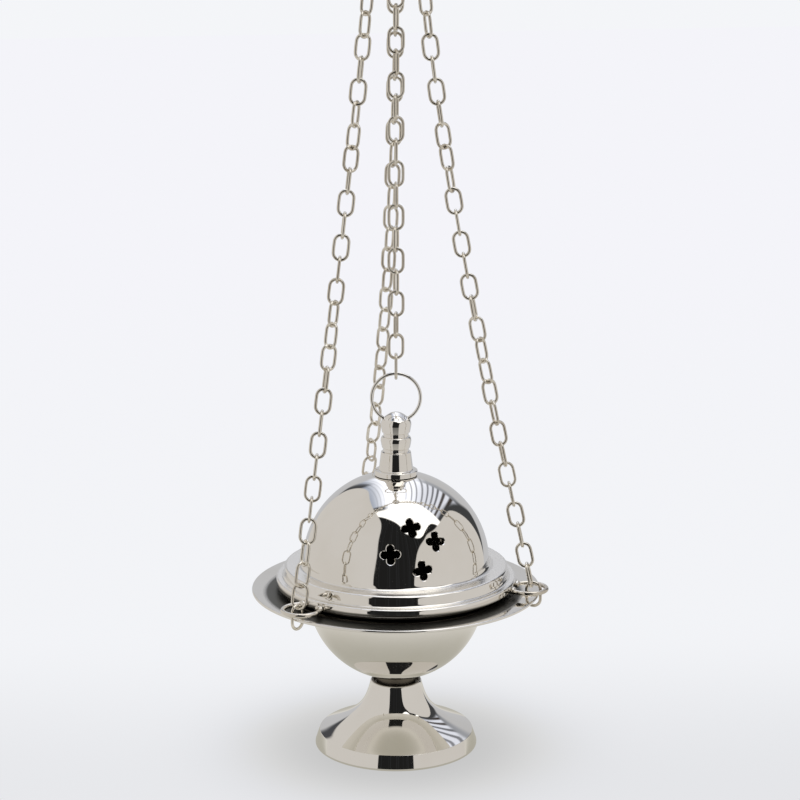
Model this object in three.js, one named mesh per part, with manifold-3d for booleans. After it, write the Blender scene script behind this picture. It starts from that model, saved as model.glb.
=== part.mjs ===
// A chain-hung thurible: a footed bowl with a wide brim, a pierced dome lid that rides up three side
// chains on guide rings, and a fourth chain that lifts the lid through a small hand cap.
// Millimetres, +Z up, origin on the floor under the centre of the foot.
import * as THREE from "three";
import { mergeVertices } from "three/addons/utils/BufferGeometryUtils.js";
import Module from "manifold-3d";

const wasm = await Module();
wasm.setup();

// Facets of round sections, the sheet's thickness and the small clearances between resting pieces.
const ROUND = 32;
const SMALL_ROUND = 14;
const FINIAL_ROUND = 16;
const CAP_ROUND = 20;
const RING_SIDES = 5;
const SHEET = 1.2;
const EDGE = 0.3;
const PLAY = 0.1;

// Foot: a spun trumpet, open underneath.
const FOOT_R = 35.6;
const FOOT_RIM_R = 33.7;
const FOOT_RIM_Z = 6.4;
const FOOT_LIP_Z = 0.6;
const FOOT_WALL = 2.0;
const NECK_R = 11.2;
const FOOT_TOP_Z = 29.2;
const SEAT_R = 9.9;
const SEAT_Z = 27.9;
const WEB_Z = 25.4;

// Bowl: a hemisphere under a wide, slightly dished brim.
const BOWL_R = 38.6;
const BOWL_IN_R = 37.3;
const BOWL_CENTRE_Z = 69.5;
const BOWL_FLOOR_R = 6.5;
const BOWL_FLOOR_Z = 32.7;
const BOSS_R = 8.6;
const BRIM_R = 62.7;
const BRIM_Z = 72.1;
const BRIM_SEAT_R = 50.4;
const BRIM_SEAT_Z = 71.7;
const BRIM_THICK = 1.3;

// Fasteners.
const THREAD_R = 2.0;
const CLEAR_R = 2.3;
const NUT_HOLE_R = 2.1;
const NUT_R = 4.04;
const NUT_H = 3.0;
const WASHER_R = 4.8;
const WASHER_H = 0.8;
const SCREW_HEAD_R = 3.9;
const SCREW_HEAD_H = 2.6;
const SCREW_TOP_Z = 37.2;
const HEAD_CHAMFER = 0.8;
const TIP_CHAMFER = 0.5;

// Fire pan: a loose dish hung by its rim inside the bowl.
const PAN_R = 34.2;
const PAN_FLOOR_R = 21;
const PAN_Z = 41.5;
const PAN_TOP_Z = 56.8;
const PAN_WALL = 1.0;
const PAN_BEND = 0.8;
const PAN_RIM = 1.2;

// Lid: two stepped bands under a hemispherical dome, with a small cove above each step.
const LOWER_BAND_R = 52.1;
const LOWER_BAND_Z = 74.1;
const LEDGE_Z = 77.4;
const UPPER_BAND_R = 48.6;
const LEDGE_COVE = 0.9;
const SHOULDER_Z = 82.2;
const SHOULDER_COVE = 1.6;
const DOME_R = 40.6;
const DOME_CENTRE_Z = 82.4;
const CROWN_R = 9.9;
const CROWN_Z = 122.0;
const COLLAR_R = 36.7;
const COLLAR_BOTTOM_Z = 66.5;
const COLLAR_WALL = 1.1;
const COLLAR_FLANGE = 2.1;
const LID_SEAT_R = 48.9;
const LID_SEAT_Z = 71.8;

// Vent holes: crosses with round arms, four to a cluster, three clusters.
const CLUSTER_TURN = 12;
const CLUSTER_SHIFT = -4.4;
const CLUSTER_EL = 24.5;
// Each hole's place across and up in its cluster, and its own turn in degrees.
const CLUSTER_HOLES = [
  [1.0, 9.2, 8],
  [9.4, 0.3, -6],
  [0.4, -9.8, 8],
  [-11.2, 0, 4],
];
const ARM_REACH = 2.65;
const ARM_R = 1.55;
const ARM_WAIST = 1.42;
const VENT_CUT = 8;

// Finial.
const FINIAL_TURN = -17.4;
const FINIAL_STUD_Z = 115.5;
const RING_WIRE_R = 0.6;
const RING_R = 10.4;
const RING_CENTRE_Z = 155.9;
const RING_CHANNEL = 0.45;

// Guide rings on the lid's lower band, and the brim holes beside them.
const EARS = [210, 330, 90];
const GUIDE_CENTRE_R = 58.3;
const GUIDE_R = 7.8;
const GUIDE_WIRE_R = 0.62;
const GUIDE_Z = 74.6;
const BRAZE_GAP = 0.3;
const BRAZE_SIZE = [1.3, 1.9, 1.4];
const BRAZE_SPREAD = 4.8;
const BAND_CUT = 5;

// Hand cap and its eyelet.
const CAP_TURN = -16.4;
const CAP_R = 15.0;
const CAP_RIM_DROP = 2.45;
const CAP_RIM_WALL = 1.1;
const CAP_TOP_Z = 333.95;
const CAP_NECK_R = 5.6;
const CAP_NECK_Z = 337.0;
const CAP_FLARE = [2.4, 1.0];
const BUSH_R = 4.8;
const BUSH_BORE_R = 4.15;
const BUSH_LIP_R = 5.5;
const BUSH_LIP_H = 0.6;

// Chain links: ovals of round wire.
const LINK_LENGTH = 10.35;
const LINK_WIDTH = 6.0;
const END_LINK_WIDTH = 6.1;
const LINK_WIRE_R = 0.72;
const END_CLEAR = 8.72;
const LINK_HOLE_R = 1.5;
const HOLE_PAST = 2;
const BRIM_ANCHOR_R = 60.6;
const BRIM_ANCHOR_Z = 72.2;
const CAP_ANCHOR_R = 13.0;
const CAP_ANCHOR_Z = 331.4;
const SIDE_STEPS = 29;
const LOWER_LINKS = 5;
// How far each side chain hangs slack: 1 is straight, more is a deeper curve.
const SLACK = [1.09, 1.25, 2.3];
const SIDE_TWIST = [74, -106, 74];
const CENTRE_FIRST_Z = 169.55;
const CENTRE_PITCH = 9.2;
const CENTRE_LINKS = 18;
// The centre chain's links turn a little off the quarter turn, by this many degrees over this cycle.
const CENTRE_WIGGLE = 14;
const CENTRE_WIGGLE_STEP = 1.9;

// Pull ring.
const PULL_R = 12.5;
const PULL_WIRE_R = 0.92;

const rad = THREE.MathUtils.degToRad;
const UP = new THREE.Vector3(0, 0, 1);

const nickel = new THREE.MeshStandardMaterial({ color: 0xd6d2ca, roughness: 0.06, metalness: 1 });
const chainNickel = new THREE.MeshStandardMaterial({ color: 0xc9c1b2, roughness: 0.2, metalness: 1 });
const plainSteel = new THREE.MeshStandardMaterial({ color: 0xa9aaab, roughness: 0.35, metalness: 1 });
const brazed = new THREE.MeshStandardMaterial({ color: 0xb5ac98, roughness: 0.4, metalness: 1 });

const group = new THREE.Group();

function place(name, geometry, material) {
  const mesh = new THREE.Mesh(geometry, material);
  mesh.name = name;
  group.add(mesh);
  return mesh;
}

function solidOf(geometry) {
  const bare = geometry.clone();
  bare.deleteAttribute("normal");
  bare.deleteAttribute("uv");
  const merged = mergeVertices(bare, 1e-4);
  return new wasm.Manifold(
    new wasm.Mesh({
      numProp: 3,
      vertProperties: new Float32Array(merged.attributes.position.array),
      triVerts: new Uint32Array(merged.index.array),
    }),
  );
}

function geometryOf(solid) {
  const mesh = solid.getMesh();
  const geometry = new THREE.BufferGeometry();
  geometry.setAttribute("position", new THREE.BufferAttribute(mesh.vertProperties, 3));
  geometry.setIndex(new THREE.BufferAttribute(mesh.triVerts, 1));
  geometry.computeVertexNormals();
  return geometry;
}

function flat(radius, azimuth) {
  return new THREE.Vector2(radius * Math.cos(rad(azimuth)), radius * Math.sin(rad(azimuth)));
}

// A turned piece from an outline of [radius, height] points, given anticlockwise in the half plane.
function turned(outline, segments = ROUND) {
  const points = outline.map(([r, z]) => new THREE.Vector2(r, z));
  if (points[0].x > 0 || points.at(-1).x > 0) points.push(points[0].clone());
  return new THREE.LatheGeometry(points, segments).rotateX(Math.PI / 2);
}

function arc(radius, centreZ, fromDeg, toDeg, steps) {
  return Array.from({ length: steps + 1 }, (_, i) => {
    const a = rad(fromDeg + ((toDeg - fromDeg) * i) / steps);
    return [radius * Math.cos(a), centreZ + radius * Math.sin(a)];
  });
}

function bezier(points, steps) {
  const [a, b, c, d] = points.map(([r, z]) => new THREE.Vector2(r, z));
  return new THREE.CubicBezierCurve(a, b, c, d).getPoints(steps).map((p) => [p.x, p.y]);
}

function tube(innerR, outerR, z0, z1, segments = SMALL_ROUND) {
  return turned(
    [
      [innerR, z0],
      [outerR, z0],
      [outerR, z1],
      [innerR, z1],
    ],
    segments,
  );
}

function hexNut(z0) {
  const shape = new THREE.Shape(Array.from({ length: 6 }, (_, i) => flat(NUT_R, 60 * i)));
  shape.holes.push(new THREE.Path().absarc(0, 0, NUT_HOLE_R, 0, 2 * Math.PI, true));
  const options = { depth: NUT_H, bevelEnabled: false, curveSegments: SMALL_ROUND / 2 };
  return new THREE.ExtrudeGeometry(shape, options).translate(0, 0, z0);
}

function pin(radius, x, y, z0, z1) {
  return new THREE.CylinderGeometry(radius, radius, z1 - z0, 10)
    .rotateX(Math.PI / 2)
    .translate(x, y, (z0 + z1) / 2);
}

// A wire ring standing upright, its plane along the given azimuth.
function uprightRing(ringR, wireR, steps, azimuth, centreZ) {
  return new THREE.TorusGeometry(ringR, wireR, RING_SIDES, steps)
    .rotateX(Math.PI / 2)
    .rotateZ(rad(azimuth))
    .translate(0, 0, centreZ);
}

// ---- Foot ----
function footGeometry() {
  const outer = bezier(
    [
      [NECK_R + 0.1, FOOT_TOP_Z - 0.4],
      [13.8, 18.4],
      [16, 13.8],
      [FOOT_RIM_R - 0.3, FOOT_RIM_Z + 0.2],
    ],
    7,
  );
  const inner = bezier(
    [
      [NECK_R - 1.5, WEB_Z],
      [12.1, 16.4],
      [14.8, 12.2],
      [FOOT_RIM_R - 1.6, FOOT_RIM_Z - 1.4],
    ],
    4,
  );
  return turned([
    [FOOT_R - FOOT_WALL, 0],
    [FOOT_R, 0],
    [FOOT_R, FOOT_LIP_Z],
    [FOOT_RIM_R, FOOT_RIM_Z],
    ...outer.reverse(),
    [NECK_R - 0.1, FOOT_TOP_Z],
    [SEAT_R + PLAY, FOOT_TOP_Z],
    [SEAT_R, SEAT_Z],
    [CLEAR_R, SEAT_Z],
    [CLEAR_R, WEB_Z],
    ...inner,
  ]);
}

function screwGeometry() {
  const headTop = WEB_Z - WASHER_H - 2 * PLAY;
  return turned(
    [
      [0, headTop - SCREW_HEAD_H],
      [SCREW_HEAD_R - HEAD_CHAMFER, headTop - SCREW_HEAD_H],
      [SCREW_HEAD_R, headTop - SCREW_HEAD_H + HEAD_CHAMFER],
      [SCREW_HEAD_R, headTop],
      [THREAD_R, headTop],
      [THREAD_R, SCREW_TOP_Z - TIP_CHAMFER],
      [THREAD_R - TIP_CHAMFER, SCREW_TOP_Z],
      [0, SCREW_TOP_Z],
    ],
    SMALL_ROUND,
  );
}

// ---- Bowl ----
function bowlGeometry() {
  const bossTop = -Math.acos(BOSS_R / BOWL_R) * THREE.MathUtils.RAD2DEG;
  const floorEdge = -Math.acos(BOWL_FLOOR_R / BOWL_IN_R) * THREE.MathUtils.RAD2DEG;
  const plate = BRIM_Z - BRIM_THICK;
  const body = turned([
    [CLEAR_R, SEAT_Z + PLAY / 2],
    [BOSS_R, SEAT_Z + PLAY / 2],
    ...arc(BOWL_R, BOWL_CENTRE_Z, bossTop, 0, 7),
    [BOWL_R, BRIM_SEAT_Z - SHEET],
    [BRIM_SEAT_R, BRIM_SEAT_Z - SHEET],
    [BRIM_R - EDGE, plate],
    [BRIM_R, plate + EDGE],
    [BRIM_R, BRIM_Z - EDGE],
    [BRIM_R - EDGE, BRIM_Z],
    [BRIM_SEAT_R, BRIM_SEAT_Z],
    [BOWL_IN_R, BRIM_SEAT_Z],
    ...arc(BOWL_IN_R, BOWL_CENTRE_Z, 0, floorEdge, 5),
    [CLEAR_R, BOWL_FLOOR_Z],
  ]);
  return EARS.reduce((solid, azimuth) => {
    const at = flat(BRIM_ANCHOR_R - END_LINK_WIDTH / 2, azimuth);
    return solid.subtract(solidOf(pin(LINK_HOLE_R, at.x, at.y, plate - HOLE_PAST, BRIM_Z + HOLE_PAST)));
  }, solidOf(body));
}

function panGeometry() {
  return turned([
    [0, PAN_Z],
    [PAN_FLOOR_R, PAN_Z],
    [PAN_FLOOR_R + 2 * PAN_BEND, PAN_Z + PAN_BEND],
    [PAN_R - PAN_BEND, PAN_TOP_Z - PAN_RIM],
    [PAN_R, PAN_TOP_Z - PAN_WALL],
    [PAN_R, PAN_TOP_Z],
    [PAN_R - PAN_RIM, PAN_TOP_Z],
    [PAN_FLOOR_R + PAN_BEND, PAN_Z + PAN_BEND + PAN_WALL],
    [PAN_FLOOR_R - PAN_BEND / 2, PAN_Z + PAN_WALL],
    [0, PAN_Z + PAN_WALL],
  ]);
}

// ---- Lid ----
function ventShape() {
  const shape = new THREE.Shape();
  for (let arm = 0; arm < 4; arm++) {
    const turn = (arm * Math.PI) / 2;
    const cx = ARM_REACH * Math.cos(turn);
    const cy = ARM_REACH * Math.sin(turn);
    if (arm === 0) shape.moveTo(ARM_WAIST, -ARM_WAIST);
    shape.absarc(cx, cy, ARM_R, turn - Math.PI / 2, turn + Math.PI / 2, false);
    const notch = turn + Math.PI / 4;
    shape.lineTo(ARM_WAIST * Math.SQRT2 * Math.cos(notch), ARM_WAIST * Math.SQRT2 * Math.sin(notch));
  }
  return shape;
}

function ventCutters() {
  const options = { depth: VENT_CUT, bevelEnabled: false, curveSegments: 3 };
  const lean = rad(CLUSTER_TURN);
  return EARS.flatMap((ear) =>
    CLUSTER_HOLES.map(([across, up, turn]) => {
      const side = across * Math.cos(lean) - up * Math.sin(lean);
      const rise = across * Math.sin(lean) + up * Math.cos(lean);
      const el = rad(CLUSTER_EL) + rise / DOME_R;
      const az = rad(ear + 60 + CLUSTER_SHIFT) + side / (DOME_R * Math.cos(el));
      return new THREE.ExtrudeGeometry(ventShape(), options)
        .rotateZ(rad(turn))
        .translate(0, 0, DOME_R - VENT_CUT / 2)
        .rotateX(Math.PI / 2 - el)
        .rotateZ(az + Math.PI / 2)
        .translate(0, 0, DOME_CENTRE_Z);
    }),
  );
}

function lidGeometry() {
  const crown = Math.acos(CROWN_R / DOME_R) * THREE.MathUtils.RAD2DEG;
  const foot = Math.asin((SHOULDER_Z + SHOULDER_COVE - DOME_CENTRE_Z) / DOME_R) * THREE.MathUtils.RAD2DEG;
  const inside = DOME_R - SHEET;
  const shell = turned([
    [LOWER_BAND_R - SHEET, LOWER_BAND_Z],
    [LOWER_BAND_R, LOWER_BAND_Z],
    [LOWER_BAND_R, LEDGE_Z - EDGE],
    [LOWER_BAND_R - EDGE, LEDGE_Z],
    [UPPER_BAND_R + LEDGE_COVE, LEDGE_Z],
    [UPPER_BAND_R, LEDGE_Z + LEDGE_COVE],
    [UPPER_BAND_R, SHOULDER_Z - EDGE],
    [UPPER_BAND_R - EDGE, SHOULDER_Z],
    [DOME_R + SHOULDER_COVE, SHOULDER_Z],
    ...arc(DOME_R, DOME_CENTRE_Z, foot, crown, 7),
    [CLEAR_R, CROWN_Z],
    [CLEAR_R, CROWN_Z - SHEET],
    ...arc(inside, DOME_CENTRE_Z, crown, 0, 5),
    [inside, SHOULDER_Z - SHEET],
    [UPPER_BAND_R - SHEET, SHOULDER_Z - SHEET],
    [UPPER_BAND_R - SHEET, LEDGE_Z - 1],
    [LOWER_BAND_R - SHEET, LEDGE_Z - 1.1],
  ]);
  return ventCutters().reduce((solid, cutter) => solid.subtract(solidOf(cutter)), solidOf(shell));
}

function collarGeometry() {
  const top = LEDGE_Z - SHEET;
  const flangeR = LID_SEAT_R - COLLAR_FLANGE;
  return turned([
    [COLLAR_R - COLLAR_WALL, COLLAR_BOTTOM_Z],
    [COLLAR_R, COLLAR_BOTTOM_Z],
    [COLLAR_R, top - SHEET],
    [flangeR, top - SHEET],
    [flangeR, LID_SEAT_Z],
    [LID_SEAT_R, LID_SEAT_Z],
    [LID_SEAT_R, top - PLAY],
    [COLLAR_R - COLLAR_WALL, top - PLAY],
  ]);
}

function finialGeometry() {
  const body = turned(
    [
      [0, FINIAL_STUD_Z],
      [THREAD_R, FINIAL_STUD_Z],
      [THREAD_R, CROWN_Z + PLAY],
      [9.35, CROWN_Z + PLAY],
      [9.35, 123.9],
      [8.9, 124.3],
      [7.4, 124.5],
      [6.45, 132.2],
      [5.6, 132.6],
      [5.6, 133.8],
      [6.2, 134.1],
      [6.6, 136.9],
      [6.5, 138.3],
      [5.95, 138.95],
      [5.45, 139.2],
      [5.45, 140.6],
      [6.2, 140.9],
      [6.6, 144.1],
      [6.4, 145.6],
      [5.6, 146.8],
      [3.6, 148.6],
      [1.7, 149.4],
      [0, 149.6],
    ],
    FINIAL_ROUND,
  );
  const channel = uprightRing(RING_R, RING_WIRE_R + RING_CHANNEL, 20, FINIAL_TURN, RING_CENTRE_Z);
  return solidOf(body).subtract(solidOf(channel));
}

// A guide ring lies flat beside the lid's lower band, open where the band passes, with both ends
// brazed on.
function guideRingGeometry(azimuth) {
  const at = flat(GUIDE_CENTRE_R, azimuth);
  const ring = new THREE.TorusGeometry(GUIDE_R, GUIDE_WIRE_R, RING_SIDES, 16)
    .rotateZ(rad(azimuth))
    .translate(at.x, at.y, GUIDE_Z);
  const lumps = [-1, 1].map((side) =>
    new THREE.SphereGeometry(1, 7, 5)
      .scale(...BRAZE_SIZE)
      .translate(LOWER_BAND_R + BRAZE_GAP, side * BRAZE_SPREAD, GUIDE_Z + BRAZE_GAP)
      .rotateZ(rad(azimuth)),
  );
  const band = tube(
    LOWER_BAND_R - BAND_CUT,
    LOWER_BAND_R + BRAZE_GAP,
    GUIDE_Z - BAND_CUT,
    GUIDE_Z + BAND_CUT,
    2 * ROUND,
  );
  const whole = lumps.reduce((solid, lump) => solid.add(solidOf(lump)), solidOf(ring));
  return whole.subtract(solidOf(band));
}

// ---- Hand cap ----
function capGeometry() {
  const plate = CAP_TOP_Z - SHEET;
  const body = turned(
    [
      [BUSH_R + PLAY, plate],
      [CAP_R - CAP_RIM_WALL, plate],
      [CAP_R - CAP_RIM_WALL, CAP_TOP_Z - CAP_RIM_DROP],
      [CAP_R, CAP_TOP_Z - CAP_RIM_DROP],
      [CAP_R, CAP_TOP_Z - EDGE],
      [CAP_R - EDGE, CAP_TOP_Z],
      [CAP_NECK_R + CAP_FLARE[0], CAP_TOP_Z],
      [CAP_NECK_R + CAP_FLARE[1], CAP_TOP_Z + CAP_FLARE[1]],
      [CAP_NECK_R, CAP_NECK_Z],
      [BUSH_R + PLAY, CAP_NECK_Z],
    ],
    CAP_ROUND,
  );
  return EARS.reduce((solid, azimuth) => {
    const at = flat(CAP_ANCHOR_R - END_LINK_WIDTH / 2, azimuth + CAP_TURN);
    return solid.subtract(solidOf(pin(LINK_HOLE_R, at.x, at.y, plate - HOLE_PAST, CAP_TOP_Z + HOLE_PAST)));
  }, solidOf(body));
}

function bushGeometry() {
  const low = CAP_TOP_Z - SHEET - PLAY;
  const high = CAP_NECK_Z + PLAY;
  return turned(
    [
      [BUSH_BORE_R, low - BUSH_LIP_H],
      [BUSH_LIP_R, low - BUSH_LIP_H],
      [BUSH_LIP_R, low],
      [BUSH_R, low],
      [BUSH_R, high],
      [BUSH_LIP_R, high],
      [BUSH_LIP_R, high + BUSH_LIP_H],
      [BUSH_BORE_R, high + BUSH_LIP_H],
    ],
    SMALL_ROUND,
  );
}

// ---- Chains ----
// An oval link with its length along Z and its width along X: a ring of eight straight pieces, drawn out.
function linkGeometry(width = LINK_WIDTH) {
  const corner = width / 2 / Math.cos(Math.PI / 8);
  const ring = new THREE.TorusGeometry(corner, LINK_WIRE_R, 4, 8).rotateZ(Math.PI / 8);
  const stretch = (LINK_LENGTH - width) / 2;
  const at = ring.attributes.position;
  for (let i = 0; i < at.count; i++) at.setY(i, at.getY(i) + Math.sign(at.getY(i)) * stretch);
  return ring.rotateX(Math.PI / 2);
}

// The link turned so that its length follows `along` and its width points to `across`.
function laidLink(centre, along, across, width) {
  const length = along.clone().normalize();
  const normal = new THREE.Vector3().crossVectors(length, across).normalize();
  const side = new THREE.Vector3().crossVectors(normal, length);
  const frame = new THREE.Matrix4().makeBasis(side, normal, length).setPosition(centre);
  return linkGeometry(width).applyMatrix4(frame);
}

// The middle line of one side chain, from the brim anchor to the cap anchor.
class SideCurve extends THREE.Curve {
  constructor(ear) {
    super();
    this.low = flat(BRIM_ANCHOR_R, EARS[ear]);
    this.high = flat(CAP_ANCHOR_R, EARS[ear] + CAP_TURN);
    this.slack = SLACK[ear];
    this.arcLengthDivisions = 600;
  }

  getPoint(t, target = new THREE.Vector3()) {
    const inward = 1 - (1 - t) ** this.slack;
    const at = this.low.clone().lerp(this.high, inward);
    return target.set(at.x, at.y, BRIM_ANCHOR_Z + (CAP_ANCHOR_Z - BRIM_ANCHOR_Z) * t);
  }
}

function joined(geometries) {
  return geometryOf(geometries.map(solidOf).reduce((whole, link) => whole.add(link)));
}

// Side chain `ear` as four pieces: the end link at the brim, a lower run, an upper run and the end link
// at the cap.
function sideChain(ear) {
  const curve = new SideCurve(ear);
  const total = curve.getLength();
  const gap = (total - 3 * END_CLEAR) / (SIDE_STEPS - 3);
  const outward = new THREE.Vector3(...flat(1, EARS[ear]), 0);
  const arcAt = (i) => {
    if (i === 0) return 0;
    if (i <= LOWER_LINKS) return END_CLEAR + (i - 1) * gap;
    if (i < SIDE_STEPS) return 2 * END_CLEAR + (i - 2) * gap;
    return total;
  };
  const link = (i) => {
    const u = arcAt(i) / total;
    const end = i === 0 || i === SIDE_STEPS;
    const along = end ? UP.clone() : curve.getTangentAt(u);
    const turn = rad(90 * i + (SIDE_TWIST[ear] * i) / SIDE_STEPS);
    const across = outward.clone().applyAxisAngle(UP, turn);
    return laidLink(curve.getPointAt(u), along, across, end ? END_LINK_WIDTH : LINK_WIDTH);
  };
  const run = (from, to) => {
    const links = Array.from({ length: to - from + 1 }, (_, k) => link(from + k));
    return joined(links);
  };
  return [link(0), run(1, LOWER_LINKS), run(LOWER_LINKS + 1, SIDE_STEPS - 1), link(SIDE_STEPS)];
}

function centreLink(i) {
  let z = CENTRE_FIRST_Z;
  if (i > 0) z += END_CLEAR + (Math.min(i, CENTRE_LINKS) - 1) * CENTRE_PITCH;
  if (i > CENTRE_LINKS) z += END_CLEAR;
  const end = i === 0 || i > CENTRE_LINKS;
  const wiggle = end ? 0 : CENTRE_WIGGLE * Math.sin(CENTRE_WIGGLE_STEP * i);
  const across = new THREE.Vector3(...flat(1, FINIAL_TURN + 90 * (i + 1) + wiggle), 0);
  return laidLink(new THREE.Vector3(0, 0, z), UP.clone(), across, LINK_WIDTH);
}

// ---- Assembly ----
place("foot", footGeometry(), nickel);
place("foot_screw", screwGeometry(), plainSteel);
place("foot_washer", tube(CLEAR_R, WASHER_R, WEB_Z - PLAY - WASHER_H, WEB_Z - PLAY), plainSteel);
place("bowl", geometryOf(bowlGeometry()), nickel);
const bowlWasherZ = BOWL_FLOOR_Z + PLAY;
place("bowl_washer", tube(CLEAR_R, WASHER_R, bowlWasherZ, bowlWasherZ + WASHER_H), plainSteel);
place("bowl_nut", hexNut(bowlWasherZ + WASHER_H + PLAY), plainSteel);
place("fire_pan", panGeometry(), plainSteel);

place("lid", geometryOf(lidGeometry()), nickel);
place("lid_collar", collarGeometry(), plainSteel);
const underCrown = CROWN_Z - SHEET - PLAY;
place("finial", geometryOf(finialGeometry()), nickel);
place("finial_washer", tube(CLEAR_R, WASHER_R, underCrown - WASHER_H, underCrown), plainSteel);
place("finial_nut", hexNut(underCrown - WASHER_H - PLAY - NUT_H), plainSteel);
place("finial_ring", uprightRing(RING_R, RING_WIRE_R, 24, FINIAL_TURN, RING_CENTRE_Z), nickel);
EARS.forEach((azimuth, i) => {
  place(`guide_ring_${i + 1}`, geometryOf(guideRingGeometry(azimuth)), brazed);
});

place("hand_cap", geometryOf(capGeometry()), nickel);
place("cap_bush", bushGeometry(), nickel);

EARS.forEach((_, ear) => {
  const [brimLink, lowerRun, upperRun, capLink] = sideChain(ear);
  place(`chain_${ear + 1}_brim_link`, brimLink, chainNickel);
  place(`chain_${ear + 1}_lower_run`, lowerRun, chainNickel);
  place(`chain_${ear + 1}_upper_run`, upperRun, chainNickel);
  place(`chain_${ear + 1}_cap_link`, capLink, chainNickel);
});

place("centre_chain_ring_link", centreLink(0), chainNickel);
const centreRun = Array.from({ length: CENTRE_LINKS }, (_, k) => centreLink(k + 1));
place("centre_chain_run", joined(centreRun), chainNickel);
place("centre_chain_top_link", centreLink(CENTRE_LINKS + 1), chainNickel);
const topLinkZ = CENTRE_FIRST_Z + 2 * END_CLEAR + (CENTRE_LINKS - 1) * CENTRE_PITCH;
const pullZ = topLinkZ + LINK_LENGTH / 2 - LINK_WIRE_R - PULL_WIRE_R - PLAY + PULL_R;
place("pull_ring", uprightRing(PULL_R, PULL_WIRE_R, 24, FINIAL_TURN + 90, pullZ), chainNickel);

export default group;
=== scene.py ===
"""A small hanging thurible of polished nickel: fine turned meshes, separate chain links, nickel
materials and a fabric light tent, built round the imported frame. Sizes written here are in
millimetres and angles in degrees unless a comment says otherwise; places come from the frame."""

import math

import bmesh
import bpy
import numpy as np
from mathutils import Matrix, Vector, noise


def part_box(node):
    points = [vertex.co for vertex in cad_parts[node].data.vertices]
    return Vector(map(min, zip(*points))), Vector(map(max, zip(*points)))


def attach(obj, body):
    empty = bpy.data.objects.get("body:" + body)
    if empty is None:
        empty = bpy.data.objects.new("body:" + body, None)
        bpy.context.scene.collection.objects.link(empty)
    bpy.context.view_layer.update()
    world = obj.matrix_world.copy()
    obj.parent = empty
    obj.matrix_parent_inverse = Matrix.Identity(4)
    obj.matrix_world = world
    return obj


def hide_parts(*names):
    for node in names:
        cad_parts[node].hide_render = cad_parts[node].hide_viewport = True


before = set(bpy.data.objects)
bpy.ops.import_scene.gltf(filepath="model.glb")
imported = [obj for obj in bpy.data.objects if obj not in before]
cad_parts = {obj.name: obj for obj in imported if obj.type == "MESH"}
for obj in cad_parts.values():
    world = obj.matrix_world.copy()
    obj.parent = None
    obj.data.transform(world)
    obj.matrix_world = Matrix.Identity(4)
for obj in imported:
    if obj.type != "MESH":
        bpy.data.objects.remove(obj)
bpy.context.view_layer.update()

MM = 0.001
# Faces round a turned piece, and round a small one.
TURNS = 144
SMALL_TURNS = 72
# Azimuths in degrees of the guide rings and of the side chains' ends.
EARS = (210, 330, 90)


# ---- Sizes read from the frame ----
def low(node):
    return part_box(node)[0] / MM


def high(node):
    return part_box(node)[1] / MM


def middle(node):
    return (low(node) + high(node)) / 2


FOOT_R = high("foot").x
FOOT_TOP = high("foot").z
BRIM_R = high("bowl").x
BRIM_TOP = high("bowl").z
BOWL_BOTTOM = low("bowl").z
BAND_R = high("lid").x
BAND_BOTTOM = low("lid").z
CROWN_TOP = high("lid").z
CAP_R = high("hand_cap").x
CAP_LOW = low("hand_cap").z
CAP_NECK_TOP = high("hand_cap").z
FINIAL_TOP = high("finial").z
RING_MIDDLE = middle("finial_ring").z
PAN_R = high("fire_pan").x
PAN_TOP = high("fire_pan").z
PAN_BOTTOM = low("fire_pan").z
COLLAR_R = high("lid_collar").x
COLLAR_BOTTOM = low("lid_collar").z
COLLAR_TOP = high("lid_collar").z

# Sheet metal, the screw's thread and the holes that clear it.
SHEET = 1.2
THREAD_R = 2.0
CLEAR_R = 2.3

# Bowl and dome are parts of spheres.
BOWL_R = 38.6
BOWL_CENTRE = BRIM_TOP - 2.6
DOME_R = 40.6
DOME_CENTRE = 82.4

# Vent holes: crosses of four round arms, in a cluster between each two guide rings. The cluster is
# turned, shifted in azimuth from halfway between the rings, and centred at an elevation.
VENT_TURN = 12
VENT_SHIFT = -4.4
VENT_EL = 24.5
# Each hole's place across and up in its cluster, and its own turn in degrees.
VENT_HOLES = ((1.0, 9.2, 8), (9.4, 0.3, -6), (0.4, -9.8, 8), (-11.2, 0, 4))
ARM_REACH = 2.65
ARM_R = 1.65
ARM_WAIST = 1.58
VENT_CHAMFER = 0.28

# Rings and chains.
FINIAL_TURN = -17.4
FINIAL_RING_R = 10.45
FINIAL_WIRE = 0.72
GUIDE_MIDDLE_R = 58.3
GUIDE_R = 7.8
GUIDE_WIRE = 1.0
GUIDE_Z = 74.6
BRAZE_SPREAD = 4.8
BRAZE_OUT = 0.6
BRAZE_Z = 74.7
BRAZE_SIZE = (1.2, 2.2, 1.55)
LINK_LENGTH = 10.4
LINK_WIDTH = 6.0
LINK_WIRE = 0.66
KNUCKLE_WIRE = 0.59
END_STEP = 8.72
CENTRE_STEP = 9.2
SIDE_STEPS = 29
LOWER_LINKS = 5
LINE_SAMPLES = 601
CENTRE_LINKS = 18
# How far each side chain hangs slack: 1 is straight, more is a deeper curve.
SLACK = (1.09, 1.25, 2.3)
# How each side chain is twisted: turns in degrees at some of its links, counted from the brim.
SIDE_TWIST = (
    ((0, 0), (1, 28), (2, -12), (3, -22), (4, -45), (10, -50), (16, 43), (20, 50), (24, 133), (29, 74)),
    ((0, 0), (4, 12), (9, 30), (15, 102), (19, 102), (23, 20), (26, 12), (29, 74)),
    ((0, 0), (29, 74)),
)
# The centre chain's links turn off the quarter turn by this many degrees over this cycle.
CENTRE_WIGGLE = 14
CENTRE_WIGGLE_STEP = 1.9
LINK_HOLE_R = 1.5
PULL_R = 12.5
PULL_WIRE = 0.95

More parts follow.
